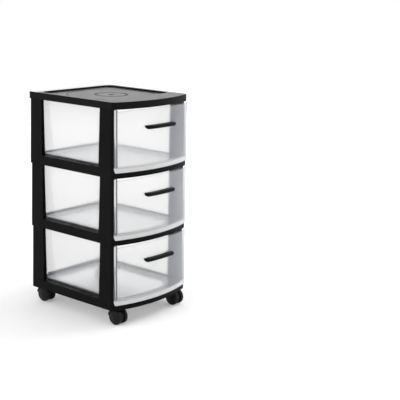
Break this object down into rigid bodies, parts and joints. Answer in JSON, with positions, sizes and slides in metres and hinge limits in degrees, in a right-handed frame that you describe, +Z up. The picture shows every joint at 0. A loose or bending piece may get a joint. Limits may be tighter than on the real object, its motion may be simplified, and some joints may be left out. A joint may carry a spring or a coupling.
{
  "type": "plastic drawer tower",
  "caption": "Rolling plastic drawer tower: translucent bowed-front drawers with bar handles slide in black post frames stacked under a tray lid, on twin-wheel casters",
  "frame": {"origin": "on the floor under the middle of the whole outline, handles included, with the drawers shut", "axes": "+Z up; -Y is the front, where the drawers open; +X is the right-hand side for someone who faces the front"},
  "size_m": [0.308, 0.3973, 0.6425],
  "materials": {
    "black_plastic": "moulded, low sheen",
    "drawer_plastic": "translucent, faintly frosted",
    "caster_plastic": "moulded, half gloss",
    "sleeve_plastic": "moulded",
    "steel": "zinc plated"
  },
  "bodies": {
    "tower": {"lid": "black_plastic", "tier_frame_low": "black_plastic", "tier_frame_middle": "black_plastic", "tier_frame_top": "black_plastic", "caster_front_left_sleeve": "sleeve_plastic", "caster_front_right_sleeve": "sleeve_plastic", "caster_rear_left_sleeve": "sleeve_plastic", "caster_rear_right_sleeve": "sleeve_plastic"},
    "drawer_low": {"drawer_low": "drawer_plastic", "handle_low": "black_plastic"},
    "drawer_middle": {"drawer_middle": "drawer_plastic", "handle_middle": "black_plastic"},
    "drawer_top": {"drawer_top": "drawer_plastic", "handle_top": "black_plastic"},
    "caster_front_left": {"caster_front_left_stem": "steel", "caster_front_left_hood": "caster_plastic", "caster_front_left_axle": "steel"},
    "caster_front_left_wheel_left": {"caster_front_left_wheel_left": "caster_plastic"},
    "caster_front_left_wheel_right": {"caster_front_left_wheel_right": "caster_plastic"},
    "caster_front_right": {"caster_front_right_stem": "steel", "caster_front_right_hood": "caster_plastic", "caster_front_right_axle": "steel"},
    "caster_front_right_wheel_left": {"caster_front_right_wheel_left": "caster_plastic"},
    "caster_front_right_wheel_right": {"caster_front_right_wheel_right": "caster_plastic"},
    "caster_rear_left": {"caster_rear_left_stem": "steel", "caster_rear_left_hood": "caster_plastic", "caster_rear_left_axle": "steel"},
    "caster_rear_left_wheel_left": {"caster_rear_left_wheel_left": "caster_plastic"},
    "caster_rear_left_wheel_right": {"caster_rear_left_wheel_right": "caster_plastic"},
    "caster_rear_right": {"caster_rear_right_stem": "steel", "caster_rear_right_hood": "caster_plastic", "caster_rear_right_axle": "steel"},
    "caster_rear_right_wheel_left": {"caster_rear_right_wheel_left": "caster_plastic"},
    "caster_rear_right_wheel_right": {"caster_rear_right_wheel_right": "caster_plastic"}
  },
  "joints": [
    {"name": "drawer_low_slide", "type": "slide", "parent": "tower", "child": "drawer_low", "axis": [0, -1, 0], "range_m": [0, 0.25]},
    {"name": "drawer_middle_slide", "type": "slide", "parent": "tower", "child": "drawer_middle", "axis": [0, -1, 0], "range_m": [0, 0.25]},
    {"name": "drawer_top_slide", "type": "slide", "parent": "tower", "child": "drawer_top", "axis": [0, -1, 0], "range_m": [0, 0.25]},
    {"name": "caster_front_left_swivel", "type": "hinge", "parent": "tower", "child": "caster_front_left", "pos_m": [-0.1215, -0.13005, 0.0455], "axis": [0, 0, 1], "continuous": true},
    {"name": "caster_front_left_wheel_left_spin", "type": "hinge", "parent": "caster_front_left", "child": "caster_front_left_wheel_left", "pos_m": [-0.1215, -0.14205, 0.023], "axis": [1, 0, 0], "continuous": true},
    {"name": "caster_front_left_wheel_right_spin", "type": "hinge", "parent": "caster_front_left", "child": "caster_front_left_wheel_right", "pos_m": [-0.1215, -0.14205, 0.023], "axis": [1, 0, 0], "continuous": true},
    {"name": "caster_front_right_swivel", "type": "hinge", "parent": "tower", "child": "caster_front_right", "pos_m": [0.1215, -0.13005, 0.0455], "axis": [0, 0, 1], "continuous": true},
    {"name": "caster_front_right_wheel_left_spin", "type": "hinge", "parent": "caster_front_right", "child": "caster_front_right_wheel_left", "pos_m": [0.1215, -0.14205, 0.023], "axis": [1, 0, 0], "continuous": true},
    {"name": "caster_front_right_wheel_right_spin", "type": "hinge", "parent": "caster_front_right", "child": "caster_front_right_wheel_right", "pos_m": [0.1215, -0.14205, 0.023], "axis": [1, 0, 0], "continuous": true},
    {"name": "caster_rear_left_swivel", "type": "hinge", "parent": "tower", "child": "caster_rear_left", "pos_m": [-0.1215, 0.17785, 0.0455], "axis": [0, 0, 1], "continuous": true},
    {"name": "caster_rear_left_wheel_left_spin", "type": "hinge", "parent": "caster_rear_left", "child": "caster_rear_left_wheel_left", "pos_m": [-0.1215, 0.16585, 0.023], "axis": [1, 0, 0], "continuous": true},
    {"name": "caster_rear_left_wheel_right_spin", "type": "hinge", "parent": "caster_rear_left", "child": "caster_rear_left_wheel_right", "pos_m": [-0.1215, 0.16585, 0.023], "axis": [1, 0, 0], "continuous": true},
    {"name": "caster_rear_right_swivel", "type": "hinge", "parent": "tower", "child": "caster_rear_right", "pos_m": [0.1215, 0.17785, 0.0455], "axis": [0, 0, 1], "continuous": true},
    {"name": "caster_rear_right_wheel_left_spin", "type": "hinge", "parent": "caster_rear_right", "child": "caster_rear_right_wheel_left", "pos_m": [0.1215, 0.16585, 0.023], "axis": [1, 0, 0], "continuous": true},
    {"name": "caster_rear_right_wheel_right_spin", "type": "hinge", "parent": "caster_rear_right", "child": "caster_rear_right_wheel_right", "pos_m": [0.1215, 0.16585, 0.023], "axis": [1, 0, 0], "continuous": true}
  ]
}
